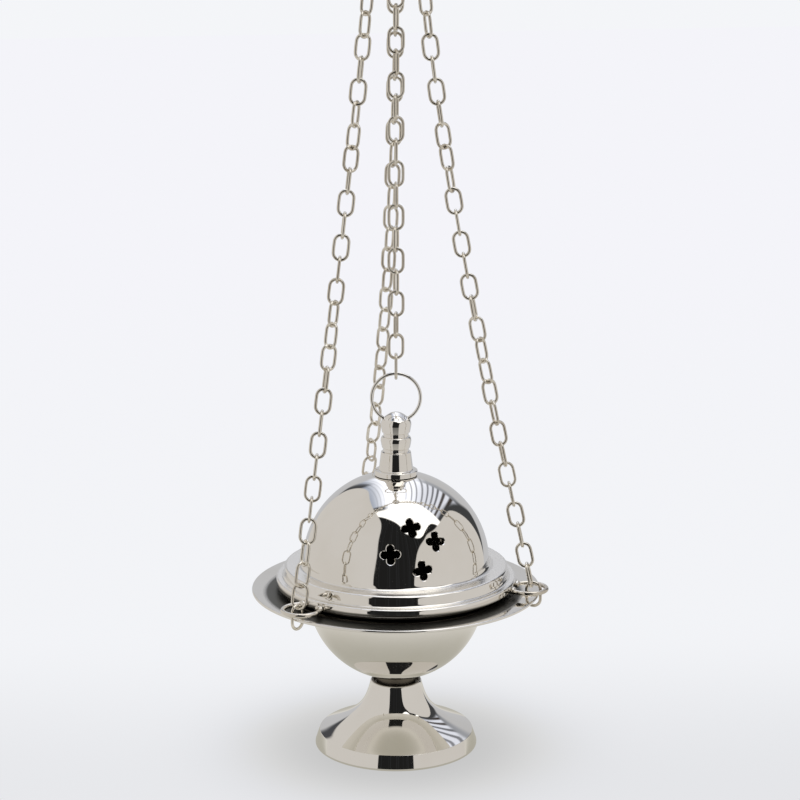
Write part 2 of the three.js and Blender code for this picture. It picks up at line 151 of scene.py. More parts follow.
# Camera, with its distance and height in metres.
VIEW_AZIMUTH = -17.4
VIEW_DISTANCE = 0.9
VIEW_HEIGHT = 0.35433
VIEW_PITCH = 12.5
VIEW_SHIFT = 0.005
LENS = 96.9


# ---- Mesh helpers ----
def mesh_object(name, vertices, faces):
    mesh = bpy.data.meshes.new(name)
    mesh.from_pydata([Vector(v) * MM for v in vertices], [], faces)
    mesh.validate()
    mesh.update()
    thing = bpy.data.objects.new(name, mesh)
    bpy.context.scene.collection.objects.link(thing)
    return thing


def flat(radius, azimuth):
    """A level vector of this length in this direction."""
    a = math.radians(azimuth)
    return Vector((radius * math.cos(a), radius * math.sin(a), 0))


def arc(radius, centre, start, end, steps):
    """Points of an arc round (0, centre) in the half plane."""
    points = []
    for i in range(steps + 1):
        a = math.radians(start + (end - start) * i / steps)
        points.append((radius * math.cos(a), centre + radius * math.sin(a)))
    return points


def bezier(a, b, c, d, steps):
    points = []
    for i in range(steps + 1):
        t = i / steps
        weights = ((1 - t) ** 3, 3 * t * (1 - t) ** 2, 3 * t * t * (1 - t), t**3)
        points.append(tuple(sum(w * p[k] for w, p in zip(weights, (a, b, c, d))) for k in (0, 1)))
    return points


def rounded(outline, steps=5):
    """The outline with each corner that has a third number rounded to that radius."""
    out = []
    count = len(outline)
    for i, point in enumerate(outline):
        if len(point) == 2:
            out.append(point)
            continue
        here = Vector(point[:2])
        before = (Vector(outline[i - 1][:2]) - here).normalized()
        after = (Vector(outline[(i + 1) % count][:2]) - here).normalized()
        half = before.angle(after) / 2
        reach = point[2] / math.tan(half)
        centre = here + (before + after).normalized() * (point[2] / math.sin(half))
        first = here + before * reach - centre
        last = here + after * reach - centre
        for k in range(steps + 1):
            spoke = first.lerp(last, k / steps).normalized() * point[2]
            out.append(tuple(centre + spoke))
    return out


def profile_normals(outline, closed):
    """For each stretch of an outline, its ends, its outward normals there and its own normal."""
    crease = math.radians(38)
    points = np.array(outline, float)
    ends = np.roll(points, -1, axis=0)
    step = ends - points
    length = np.linalg.norm(step, axis=1)
    normal = np.stack([step[:, 1], -step[:, 0]], axis=1) / np.maximum(length, 1e-9)[:, None]
    count = len(points) if closed else len(points) - 1
    start, end = normal.copy(), normal.copy()
    for i in range(count):
        j = (i + 1) % len(points)
        if j >= count and not closed:
            continue
        if normal[i] @ normal[j] > math.cos(crease):
            shared = normal[i] * length[i] + normal[j] * length[j]
            shared /= np.linalg.norm(shared)
            end[i] = shared
            start[j] = shared
    for i in range(count):
        if points[i][0] < 1e-6:
            start[i] = (0, np.sign(normal[i][1]) or 1)
        if ends[i][0] < 1e-6:
            end[i] = (0, np.sign(normal[i][1]) or 1)
    return points[:count], ends[:count], start[:count], end[:count], normal[:count]


def polish(thing, outline, closed=True):
    """Gives the turned surface its exact normals, whatever its faces, so that it mirrors cleanly."""
    same_way, near = 0.9, 0.12
    mesh = thing.data
    points, ends, start, end, normal = profile_normals(outline, closed)
    step = ends - points
    square = np.maximum((step**2).sum(1), 1e-12)
    mesh.polygons.foreach_set("use_smooth", [True] * len(mesh.polygons))
    co = np.array([v.co for v in mesh.vertices]) / MM
    radius = np.hypot(co[:, 0], co[:, 1])
    custom = np.zeros((len(mesh.loops), 3))
    for face in mesh.polygons:
        centre = np.array(face.center) / MM
        place = np.array([math.hypot(centre[0], centre[1]), centre[2]])
        own = np.array(face.normal)
        if place[0] > 1e-6:
            outward = np.array([own[0] * centre[0] + own[1] * centre[1], 0]) / place[0]
        else:
            outward = np.zeros(2)
        facing = np.array([outward[0], own[2]])
        t = np.clip(((place - points) * step).sum(1) / square, 0, 1)
        off = np.linalg.norm(points + step * t[:, None] - place, axis=1)
        off = np.where(normal @ facing > same_way, off, 1e9)
        best = int(off.argmin())
        for loop in face.loop_indices:
            vertex = mesh.loops[loop].vertex_index
            if off[best] > near:
                custom[loop] = own
                continue
            here = np.array([radius[vertex], co[vertex][2]])
            t = float(np.clip((here - points[best]) @ step[best] / square[best], 0, 1))
            n = start[best] * (1 - t) + end[best] * t
            n /= np.linalg.norm(n)
            if radius[vertex] < 1e-6:
                custom[loop] = (0, 0, np.sign(n[1]))
                continue
            custom[loop] = (
                n[0] * co[vertex][0] / radius[vertex],
                n[0] * co[vertex][1] / radius[vertex],
                n[1],
            )
    mesh.normals_split_custom_set([tuple(n) for n in custom])
    return thing


def lathe(name, outline, turns=TURNS, cuts=()):
    """A turned piece. An outline that touches the axis at both ends is open there, any other closes."""
    closed = not (outline[0][0] < 1e-6 and outline[-1][0] < 1e-6)
    vertices, rings = [], []
    for r, z in outline:
        if r < 1e-6:
            rings.append([len(vertices)] * turns)
            vertices.append((0, 0, z))
            continue
        rings.append(list(range(len(vertices), len(vertices) + turns)))
        for k in range(turns):
            a = 2 * math.pi * k / turns
            vertices.append((r * math.cos(a), r * math.sin(a), z))
    faces = []
    stretches = len(outline) if closed else len(outline) - 1
    for i in range(stretches):
        here, there = rings[i], rings[(i + 1) % len(outline)]
        for k in range(turns):
            n = (k + 1) % turns
            face = []
            for corner in (here[k], here[n], there[n], there[k]):
                if corner not in face:
                    face.append(corner)
            if len(face) > 2:
                faces.append(face)
    thing = mesh_object(name, vertices, faces)
    if cuts:
        cut(thing, cuts)
    return polish(thing, outline, closed)


def cut(thing, cutters, operation="DIFFERENCE"):
    """Cuts the cutters away or, with UNION, joins them on, and welds points that fall together."""
    weld = 0.001
    for cutter in cutters:
        step = thing.modifiers.new("cut", "BOOLEAN")
        step.operation = operation
        step.solver = "EXACT"
        step.object = cutter
    bpy.context.view_layer.update()
    evaluated = thing.evaluated_get(bpy.context.evaluated_depsgraph_get())
    mesh = bpy.data.meshes.new_from_object(evaluated)
    work = bmesh.new()
    work.from_mesh(mesh)
    bmesh.ops.remove_doubles(work, verts=work.verts, dist=weld * MM)
    work.to_mesh(mesh)
    work.free()
    thing.modifiers.clear()
    thing.data = mesh
    for cutter in cutters:
        bpy.data.objects.remove(cutter)


def pin(radius, centre, low_z, high_z, sides=24):
    """A plain round cutter along Z."""
    vertices, faces = [], []
    for z in (low_z, high_z):
        for k in range(sides):
            vertices.append(centre + flat(radius, 360 * k / sides) + Vector((0, 0, z)))
    for k in range(sides):
        n = (k + 1) % sides
        faces.append((k, n, sides + n, sides + k))
    faces.append(tuple(reversed(range(sides))))
    faces.append(tuple(range(sides, 2 * sides)))
    return mesh_object("cutter", vertices, faces)


def wire(path, radius, sides=12, closed=True, up=None):
    """Vertices and faces of a round wire along a flat path; `up` is the normal of the path's plane."""
    vertices, faces = [], []
    count = len(path)
    for i, point in enumerate(path):
        before = path[i - 1] if closed or i else point
        after = path[(i + 1) % count] if closed or i < count - 1 else point
        along = (after - before).normalized()
        side = along.cross(up).normalized()
        for k in range(sides):
            a = 2 * math.pi * k / sides
            vertices.append(point + (side * math.cos(a) + up * math.sin(a)) * radius)
    for i in range(count if closed else count - 1):
        j = (i + 1) % count
        for k in range(sides):
            n = (k + 1) % sides
            faces.append((i * sides + k, i * sides + n, j * sides + n, j * sides + k))
    if not closed:
        faces.append(tuple(reversed(range(sides))))
        faces.append(tuple(range((count - 1) * sides, count * sides)))
    return vertices, faces


def smooth(thing, angle=None):
    mesh = thing.data
    mesh.polygons.foreach_set("use_smooth", [True] * len(mesh.polygons))
    if angle is not None:
        mesh.set_sharp_from_angle(angle=math.radians(angle))
    return thing


def fix_facing(thing):
    """Turns every closed shell of the mesh to face outwards."""
    work = bmesh.new()
    work.from_mesh(thing.data)
    bmesh.ops.recalc_face_normals(work, faces=work.faces)
    work.to_mesh(thing.data)
    work.free()
    return thing


def ring(name, radius, wire_r, centre, normal, steps=96):
    """A closed wire ring."""
    side = normal.cross(Vector((0, 0, 1)) if abs(normal.z) < 0.9 else Vector((1, 0, 0))).normalized()
    other = normal.cross(side)
    path = []
    for k in range(steps):
        a = 2 * math.pi * k / steps
        path.append(centre + (side * math.cos(a) + other * math.sin(a)) * radius)
    vertices, faces = wire(path, wire_r, sides=16, up=normal)
    return smooth(fix_facing(mesh_object(name, vertices, faces)))


# ---- Materials ----
class Nodes:
    """Short ways to write a material's node tree."""

    def __init__(self, tree):
        self.tree = tree

    def add(self, kind, **inputs):
        node = self.tree.nodes.new(kind)
        for name, value in inputs.items():
            self.put(node, name.replace("_", " "), value)
        return node

    def put(self, node, name, value):
        socket = node.inputs[name] if isinstance(name, int) else self.named(node, name)
        if isinstance(value, bpy.types.NodeSocket):
            self.tree.links.new(value, socket)
        else:
            socket.default_value = value

    def named(self, node, name):
        wanted = name.lower()
        return next(s for s in node.inputs if s.name.lower() == wanted and s.enabled)

    def math(self, operation, a, b=0.0, c=0.0):
        node = self.tree.nodes.new("ShaderNodeMath")
        node.operation = operation
        for i, value in enumerate((a, b, c)):
            self.put(node, i, value)
        return node.outputs[0]

    def mix(self, factor, a, b):
        node = self.tree.nodes.new("ShaderNodeMix")
        node.data_type = "RGBA"
        self.put(node, 0, factor)
        for i, value in ((6, a), (7, b)):
            if isinstance(value, bpy.types.NodeSocket):
                self.tree.links.new(value, node.inputs[i])
            else:
                node.inputs[i].default_value = (*value, 1)
        return node.outputs[2]

    def step(self, value, start, end):
        """0 below start, 1 above end, smooth between; start may be above end."""
        node = self.tree.nodes.new("ShaderNodeMapRange")
        node.interpolation_type = "SMOOTHSTEP"
        self.put(node, 0, value)
        self.put(node, 1, start)
        self.put(node, 2, end)
        return node.outputs[0]

    def area(self, *limits):
        """1 inside all the limits (value, edge outside, edge inside), 0 outside any of them."""
        amount = 1.0
        for value, outside, inside in limits:
            amount = self.math("MULTIPLY", self.step(value, outside, inside), amount)
        return amount

    def length(self, place, weights=(1, 1, 1), centre=Vector()):
        """How far a place is from the centre, with each axis counted by its weight."""
        moved = self.tree.nodes.new("ShaderNodeVectorMath")
        moved.operation = "MULTIPLY_ADD"
        for i, value in enumerate((place, weights, tuple(-centre * MM))):
            self.put(moved, i, value)
        away = self.tree.nodes.new("ShaderNodeVectorMath")
        away.operation = "LENGTH"
        self.put(away, 0, moved.outputs[0])
        return away.outputs["Value"]

    def view_axes(self, place):
        """How far a place or direction goes to the camera's right, away from the camera and up."""
        turn = self.tree.nodes.new("ShaderNodeVectorRotate")
        turn.rotation_type = "Z_AXIS"
        self.put(turn, "Vector", place)
        self.put(turn, "Angle", -math.radians(VIEW_AZIMUTH))
        return self.add("ShaderNodeSeparateXYZ", Vector=turn.outputs[0]).outputs

    def blend(self, factor, a, b):
        """The output of a mix of two shaders."""
        node = self.tree.nodes.new("ShaderNodeMixShader")
        for i, value in enumerate((factor, a, b)):
            self.put(node, i, value)
        return node.outputs[0]

    def curve(self, value, points, span):
        """A smooth curve through points (x, y) that lie within the span on both sides of 0."""
        node = self.tree.nodes.new("ShaderNodeFloatCurve")
        line = node.mapping.curves[0]
        while len(line.points) < len(points):
            line.points.new(0.5, 0.5)
        for spot, (x, y) in zip(line.points, sorted(points)):
            spot.location = (0.5 + x / (2 * span), 0.5 + y / (2 * span))
        node.mapping.update()
        scaled = self.math("MULTIPLY_ADD", value, 1 / (2 * span), 0.5)
        self.put(node, 1, scaled)
        return self.math("MULTIPLY_ADD", node.outputs[0], 2 * span, -span)


def metal(name, tint, worn_tint, roughness, spread, wave, wave_scale, grain):
    """Plated metal: slight colour drift, smudged roughness, a slow wave in the surface and a fine grain."""
    material = bpy.data.materials.new(name)
    material.use_nodes = True
    tree = material.node_tree
    nodes = Nodes(tree)
    shader = tree.nodes["Principled BSDF"]
    place = nodes.add("ShaderNodeTexCoord").outputs["Object"]
    drift = nodes.add("ShaderNodeTexNoise", Vector=place, Scale=45.0, Detail=3.0).outputs["Fac"]
    smudge = nodes.add("ShaderNodeTexNoise", Vector=place, Scale=140.0, Detail=5.0).outputs["Fac"]
    worn = nodes.step(drift, 0.35, 0.7)
    nodes.put(shader, "Base Color", nodes.mix(worn, tint, worn_tint))
    nodes.put(shader, "Metallic", 1.0)
    rough = nodes.math("MULTIPLY_ADD", nodes.step(smudge, 0.42, 0.75), spread, roughness)
    nodes.put(shader, "Roughness", rough)
    waves = nodes.add("ShaderNodeTexNoise", Vector=place, Scale=wave_scale, Detail=1.0).outputs["Fac"]
    slow = nodes.add("ShaderNodeBump", Strength=1.0, Distance=wave, Height=waves)
    fine = nodes.add("ShaderNodeTexNoise", Vector=place, Scale=2600.0, Detail=2.0).outputs["Fac"]
    bump = nodes.add("ShaderNodeBump", Strength=1.0, Distance=grain, Height=fine, Normal=slow.outputs[0])
    nodes.put(shader, "Normal", bump.outputs[0])
    return material


def paint_shade_and_roughness(material, areas):
    """Paints shade into the metal, or only changes its roughness, inside the given areas. Each has a centre,
    limits (measure, outside, inside), a colour and a roughness; the measures are "r", the distance from the
    upright line through the centre, "R", the distance from the centre, and "z", the height."""
    tree = material.node_tree
    nodes = Nodes(tree)
    shader = tree.nodes["Principled BSDF"]
    place = nodes.add("ShaderNodeTexCoord").outputs["Object"]
    height = nodes.add("ShaderNodeSeparateXYZ", Vector=place).outputs[2]
    weights = {"r": (1, 1, 0), "R": (1, 1, 1)}
    colour = shader.inputs["Base Color"].links[0].from_socket
    rough = shader.inputs["Roughness"].links[0].from_socket
    for centre, limits, shade, dull in areas:
        edges = []
        for measure, outside, inside in limits:
            value = height if measure == "z" else nodes.length(place, weights[measure], centre)
            edges.append((value, outside * MM, inside * MM))
        amount = nodes.area(*edges)
        colour = nodes.mix(amount, colour, shade)
        rough = nodes.math("MULTIPLY_ADD", amount, nodes.math("SUBTRACT", dull, rough), rough)
    nodes.put(shader, "Base Color", colour)
    nodes.put(shader, "Roughness", rough)


PLATED = (0.87, 0.85, 0.815)
NICKEL = metal("polished_nickel", PLATED, (0.84, 0.815, 0.77), 0.03, 0.035, 0.00009, 55.0, 1e-7)
LINKS = metal("chain_nickel", (0.80, 0.76, 0.68), (0.66, 0.61, 0.53), 0.03, 0.09, 0.00003, 300.0, 2e-6)
STEEL = metal("plain_steel", (0.62, 0.62, 0.61), (0.52, 0.51, 0.49), 0.32, 0.12, 0.00002, 200.0, 3e-6)
# Near black: painted shade, for the collar seen in the gap under the lid.
SHADE_BLACK_STEEL = metal("shade_black_steel", (0.07, 0.065, 0.055), (0.045, 0.04, 0.034), 0.45, 0.12, 0.00002, 200.0, 3e-6)
BRAZE = metal("brazed_nickel", (0.80, 0.77, 0.71), (0.60, 0.55, 0.47), 0.10, 0.14, 0.00006, 500.0, 3e-6)


# Where the plating isn't bright: painted shade on the brim outside the lid, towards the front, standing for
# the dark reflection of the gap under the lid; painted shade in the neck's groove; painted shade on the
# inside of the dome; and the two ledges, which are polished less.
AXIS = Vector()
DOME_MIDDLE = Vector((0, 0, DOME_CENTRE))
# The painted shade on the brim is centred a little towards the camera.
BRIM_SHADE_MIDDLE = flat(6.2, VIEW_AZIMUTH - 100)
# Roughness of the painted shade.
PAINTED_SHADE_ROUGH = 0.42
SATIN = 0.27
ON_BRIM = (("r", 57.0, 54.4), ("r", 46.0, 47.5), ("z", 71.2, 71.5), ("z", 72.9, 72.5))
# Painted shade in the neck's groove, where bowl meets foot.
IN_NECK = (("r", 11.2, 10.5), ("z", 26.4, 27.6), ("z", 32.6, 31.7))
# Painted shade on the inside of the dome, seen through the vents.
IN_DOME = (("R", 40.25, 40.05), ("z", 83.2, 84.0))
UPPER_LEDGE = (("r", 40.9, 41.6), ("r", 48.5, 48.1), ("z", 81.9, 82.1), ("z", 82.8, 82.5))
LOWER_LEDGE = (("r", 48.9, 49.3), ("r", 52.5, 52.1), ("z", 77.1, 77.3), ("z", 77.9, 77.7))
paint_shade_and_roughness(NICKEL, (
    (BRIM_SHADE_MIDDLE, ON_BRIM, (0.07, 0.067, 0.056), PAINTED_SHADE_ROUGH),
    (AXIS, IN_NECK, (0.16, 0.14, 0.115), PAINTED_SHADE_ROUGH),
    (DOME_MIDDLE, IN_DOME, (0.055, 0.050, 0.036), PAINTED_SHADE_ROUGH),
    (AXIS, UPPER_LEDGE, PLATED, SATIN),
    (AXIS, LOWER_LEDGE, PLATED, SATIN),
))


def finish_piece(thing, material, slot, body, *nodes):
    """Gives a piece its material and its body, and puts it in the place of CAD nodes. The slot is not used.
    """
    thing.data.materials.clear()
    thing.data.materials.append(material)
    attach(thing, body)
    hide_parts(*nodes)
    return thing


# ---- Foot ----
def make_foot():
    seat_r = 9.9
    neck_r = 11.3
    web_low, web_top = 25.4, 27.9
    rim = (33.7, 6.4)
    outside = bezier((rim[0] - 0.3, rim[1] + 0.15), (16.0, 13.8), (13.8, 18.4), (neck_r, FOOT_TOP - 1.2), 44)
    inside = bezier((neck_r - 1.6, web_low), (12.1, 16.4), (14.8, 12.2), (32.1, 5.0), 24)
    outline = rounded([
        (FOOT_R - 2.0, 0, 0.2),
        (FOOT_R, 0, 0.3),
        (FOOT_R, 0.9, 0.25),
        (*rim, 0.3),
        *outside[1:],
        (neck_r - 0.08, FOOT_TOP, 1.0),
        (seat_r, FOOT_TOP, 0.15),
        (seat_r, web_top),
        (CLEAR_R, web_top, 0.15),
        (CLEAR_R, web_low, 0.15),
        *inside,
    ])
    return finish_piece(lathe("foot_shell", outline), NICKEL, "polished_nickel", "bowl", "foot")


# ---- Bowl ----
def make_bowl():
    boss_r = 8.6
    inner_r = 37.3
    floor_r = 6.5
    floor = 32.7
    boss_angle = -math.degrees(math.acos(boss_r / BOWL_R))
    floor_angle = -math.degrees(math.acos(floor_r / inner_r))
    seat = (50.4, BRIM_TOP - 0.4)
    plate = BRIM_TOP - 1.3
    outline = rounded([
        (CLEAR_R, BOWL_BOTTOM, 0.15),
        (boss_r, BOWL_BOTTOM),
        *arc(BOWL_R, BOWL_CENTRE, boss_angle, 0, 64),
        (BOWL_R, seat[1] - SHEET, 0.6),
        (seat[0], seat[1] - SHEET, 2.0),
        (BRIM_R, plate, 0.6),
        (BRIM_R, BRIM_TOP, 0.6),
        (*seat, 2.0),
        (inner_r, seat[1], 0.5),
        *arc(inner_r, BOWL_CENTRE, 0, floor_angle, 40),
        (CLEAR_R, floor, 0.15),
    ])
    holes = []
    for i in range(3):
        at = middle(f"chain_{i + 1}_brim_link")
        inward = flat(LINK_WIDTH / 2, EARS[i])
        spot = Vector((at.x, at.y, 0)) - inward
        holes.append(pin(LINK_HOLE_R, spot, plate - 2, BRIM_TOP + 2))
    bowl = lathe("bowl_shell", outline, cuts=holes)
    return finish_piece(bowl, NICKEL, "polished_nickel", "bowl", "bowl")


# ---- Lid ----
def vent_outline(offset, steps=10):
    points = []
    for arm in range(4):
        turn = 90 * arm
        for k in range(steps + 1):
            a = math.radians(turn - 90 + 180 * k / steps)
            middle_x = ARM_REACH * math.cos(math.radians(turn))
            middle_y = ARM_REACH * math.sin(math.radians(turn))
            reach = ARM_R + offset
            points.append((middle_x + reach * math.cos(a), middle_y + reach * math.sin(a)))
        waist = (ARM_WAIST + offset) * math.sqrt(2)
        notch = math.radians(turn + 45)
        points.append((waist * math.cos(notch), waist * math.sin(notch)))
    return points


def vent_cutter(azimuth, elevation, lean):
    """A cross laid on the dome's sphere, flared at the outside to leave a small bright chamfer."""
    above, below = 0.4, 3
    levels = ((DOME_R + above, above + VENT_CHAMFER), (DOME_R - VENT_CHAMFER, 0), (DOME_R - below, 0))
    vertices, faces = [], []
    count = len(vent_outline(0))
    for radius, offset in levels:
        for x, y in vent_outline(offset):
            across = x * math.cos(lean) - y * math.sin(lean)
            rise = x * math.sin(lean) + y * math.cos(lean)
            el = elevation + rise / DOME_R
            az = azimuth + across / (DOME_R * math.cos(elevation))
            out = Vector((math.cos(az) * math.cos(el), math.sin(az) * math.cos(el), math.sin(el)))
            vertices.append(out * radius + Vector((0, 0, DOME_CENTRE)))
    for level in range(len(levels) - 1):
        for k in range(count):
            n = (k + 1) % count
            here, there = level * count, (level + 1) * count
            faces.append((here + k, there + k, there + n, here + n))
    faces.append(tuple(range(count)))
    last = (len(levels) - 1) * count
    faces.append(tuple(reversed(range(last, last + count))))
    return fix_facing(mesh_object("cutter", vertices, faces))


def vent_cutters():
    lean = math.radians(VENT_TURN)
    cutters = []
    for ear in EARS:
        for across, up, turn in VENT_HOLES:
            side = across * math.cos(lean) - up * math.sin(lean)
            rise = across * math.sin(lean) + up * math.cos(lean)
            el = math.radians(VENT_EL) + rise / DOME_R
            az = math.radians(ear + 60 + VENT_SHIFT) + side / (DOME_R * math.cos(el))
            cutters.append(vent_cutter(az, el, math.radians(turn)))
    return cutters


def make_lid():
    ledge = 77.4
    upper_r = 48.6
    shoulder = 82.2
    crown_r = 9.9
    fillet_top = 3.3
    crown = math.degrees(math.acos(crown_r / DOME_R))
    inside = DOME_R - SHEET
    outline = rounded([
        (BAND_R - SHEET, BAND_BOTTOM, 0.25),
        (BAND_R, BAND_BOTTOM, 0.35),
        (BAND_R, ledge, 0.9),
        (upper_r, ledge, 1.3),
        (upper_r, shoulder, 1.2),
        (DOME_R, shoulder, 2.2),
        *arc(DOME_R, DOME_CENTRE, fillet_top, crown, 70),
        (CLEAR_R, CROWN_TOP, 0.2),
        (CLEAR_R, CROWN_TOP - SHEET, 0.2),
        *arc(inside, DOME_CENTRE, crown, 0, 40),
        (inside, shoulder - SHEET, 0.5),
        (upper_r - SHEET, shoulder - SHEET, 0.6),
        (upper_r - SHEET, ledge - 1.0, 0.4),
        (BAND_R - SHEET, ledge - 1.1, 0.5),
    ])
    lid = lathe("lid_shell", outline, cuts=vent_cutters())
    return finish_piece(lid, NICKEL, "polished_nickel", "lid", "lid")


def make_collar():
    thick = 1.1
    wall_r = 36.7
    flange_r = 46.8
    lip_z = 72.2
    outline = rounded([
        (wall_r - thick, COLLAR_BOTTOM, 0.3),
        (wall_r, COLLAR_BOTTOM, 0.4),
        (wall_r, COLLAR_TOP - thick, 0.4),
        (flange_r, COLLAR_TOP - thick, 0.3),
        (flange_r, lip_z, 0.3),
        (COLLAR_R, lip_z, 0.4),
        (COLLAR_R, COLLAR_TOP, 0.4),
        (wall_r - thick, COLLAR_TOP, 0.3),
    ])
    # The collar is near black: painted shade in the gap between the lid's band and the brim.
    return finish_piece(lathe("inner_collar", outline), SHADE_BLACK_STEEL, "plain_steel", "lid", "lid_collar")


# ---- Finial ----
def make_finial():
    base = CROWN_TOP + 0.02
    flange_r = 9.35
    play = 0.28
    outline = rounded([
        (0, low("finial").z),
        (THREAD_R, low("finial").z, 0.4),
        (THREAD_R, base, 0.1),
        (flange_r, base, 0.08),
        (flange_r, 124.2, 0.6),
        (7.4, 124.5, 0.6),
        (6.45, 132.2, 0.35),
        (5.6, 132.6, 0.25),
        (5.6, 133.8, 0.25),
        (6.05, 134.1, 0.3),
        *bezier((6.6, 136.9), (6.62, 137.8), (6.45, 138.6), (5.95, 138.95), 10),
        (5.45, 139.2, 0.25),
        (5.45, 140.6, 0.25),
        (6.05, 140.9, 0.3),
        *bezier((6.6, 144.1), (6.62, 145.2), (6.3, 146.2), (5.6, 146.8), 12),
        *bezier((5.35, 147.0), (4.3, 147.9), (2.6, FINIAL_TOP), (0, FINIAL_TOP), 16),
    ])
    centre = Vector((0, 0, RING_MIDDLE))
    facing = flat(1, FINIAL_TURN - 90)
    channel = ring("cutter", FINIAL_RING_R, FINIAL_WIRE + play, centre, facing)
    finial = lathe("finial_knob", outline, SMALL_TURNS, cuts=[channel])
    finish_piece(finial, NICKEL, "polished_nickel", "lid", "finial")
    hoop = ring("finial_hoop", FINIAL_RING_R, FINIAL_WIRE, centre, facing)
    finish_piece(hoop, NICKEL, "polished_nickel", "finial_ring", "finial_ring")


# ---- Guide rings ----
def make_guide_ring(index):
    """A wire loop lying flat beside the lid's band, with two blobs of braze where its ends meet the band."""
    azimuth = EARS[index]
    centre = flat(GUIDE_MIDDLE_R, azimuth) + Vector((0, 0, GUIDE_Z))
    reach = BAND_R + 0.15
    cosine = (reach**2 - GUIDE_MIDDLE_R**2 - GUIDE_R**2) / (2 * GUIDE_MIDDLE_R * GUIDE_R)
    half = math.degrees(math.acos(cosine))
    path = []
    steps = 64
    for k in range(steps + 1):
        path.append(centre + flat(GUIDE_R, azimuth - half + 2 * half * k / steps))
    vertices, faces = wire(path, GUIDE_WIRE, sides=14, closed=False, up=Vector((0, 0, 1)))
    loop = fix_facing(mesh_object(f"guide_loop_{index + 1}", vertices, faces))
    blobs = []
    for side in (-1, 1):
        blobs.append(braze_blob(azimuth, side, index))
    cut(loop, blobs, "UNION")
    smooth(loop, 50)
    return finish_piece(loop, BRAZE, "brazed_nickel", "lid", f"guide_ring_{index + 1}")


def braze_blob(azimuth, side, index):
    """An uneven blob of braze at one end of a guide ring."""
    rows, columns = 14, 22
    vertices = [(0, 0, 1)]
    for i in range(1, rows):
        for j in range(columns):
            a, b = math.pi * i / rows, 2 * math.pi * j / columns
            vertices.append((math.sin(a) * math.cos(b), math.sin(a) * math.sin(b), math.cos(a)))
    vertices.append((0, 0, -1))
    faces = []
    for j in range(columns):
        n = (j + 1) % columns
        faces.append((0, 1 + j, 1 + n))
        for i in range(rows - 2):
            here, there = 1 + i * columns, 1 + (i + 1) * columns
            faces.append((here + j, there + j, there + n, here + n))
        bottom = 1 + (rows - 2) * columns
        faces.append((bottom + j, len(vertices) - 1, bottom + n))
    turn = Matrix.Rotation(math.radians(azimuth), 3, "Z")
    spot = Vector((BAND_R + BRAZE_OUT, side * BRAZE_SPREAD, BRAZE_Z))
    placed = []
    for v in vertices:
        v = Vector(v)
        lump = 1 + 0.16 * noise.noise(v * 1.7 + Vector((index * 5, side * 3, 0)))
        shape = Vector(a * b for a, b in zip(v, BRAZE_SIZE)) * lump
        placed.append(turn @ (spot + shape))
    return mesh_object("cutter", placed, faces)


# ---- Hand cap ----
def make_cap():
    plate_top = CAP_LOW + 2.45
    plate = plate_top - SHEET
    rim_r = CAP_R - 1.1
    neck_r = 5.6
    bore = 4.9
    outline = rounded([
        (bore, plate, 0.2),
        (rim_r, plate, 0.4),
        (rim_r, CAP_LOW, 0.3),
        (CAP_R, CAP_LOW, 0.35),
        (CAP_R, plate_top, 0.8),
        (neck_r + 2.4, plate_top, 0.8),
        (neck_r + 1.0, plate_top + 1.1, 0.9),
        (neck_r, CAP_NECK_TOP, 0.3),
        (bore, CAP_NECK_TOP, 0.15),
    ])
    holes = []
    for i in range(3):
        at = middle(f"chain_{i + 1}_cap_link")
        outward = Vector((at.x, at.y, 0)).normalized()
        spot = Vector((at.x, at.y, 0)) - outward * LINK_WIDTH / 2
        holes.append(pin(LINK_HOLE_R, spot, plate - 2, plate_top + 2))
    cap = lathe("cap_plate", outline, cuts=holes)
    finish_piece(cap, NICKEL, "polished_nickel", "bowl", "hand_cap")
    bush_low, bush_high = low("cap_bush").z, high("cap_bush").z
    inner_r, tube_r, lip_r, lip = 4.15, 4.8, 5.5, 0.6
    bush = rounded([
        (inner_r, bush_low, 0.25),
        (lip_r, bush_low, 0.25),
        (lip_r, bush_low + lip, 0.15),
        (tube_r, bush_low + lip),
        (tube_r, bush_high - lip),
        (lip_r, bush_high - lip, 0.15),
        (lip_r, bush_high, 0.25),
        (inner_r, bush_high, 0.25),
    ])
    finish_piece(lathe("cap_eyelet", bush, SMALL_TURNS), NICKEL, "polished_nickel", "bowl", "cap_bush")


# ---- Fire pan and fasteners ----
def make_pan():
    thick = 1.0
    floor_r = 21.4
    outline = rounded([
        (0, PAN_BOTTOM),
        (floor_r, PAN_BOTTOM, 2.0),
        (33.4, PAN_TOP - 1.2, 0.4),
        (PAN_R, PAN_TOP - thick, 0.2),
        (PAN_R, PAN_TOP, 0.3),
        (33.0, PAN_TOP, 0.3),
        (floor_r, PAN_BOTTOM + thick, 1.6),
        (0, PAN_BOTTOM + thick),
    ])
    return finish_piece(lathe("charcoal_pan", outline), STEEL, "plain_steel", "fire_pan", "fire_pan")


def make_washer(name, node, body):
    bottom, top = low(node).z, high(node).z
    outline = rounded([
        (CLEAR_R, bottom, 0.12),
        (high(node).x, bottom, 0.15),
        (high(node).x, top, 0.25),
        (CLEAR_R, top, 0.12),
    ])
    return finish_piece(lathe(name, outline, SMALL_TURNS), STEEL, "plain_steel", body, node)


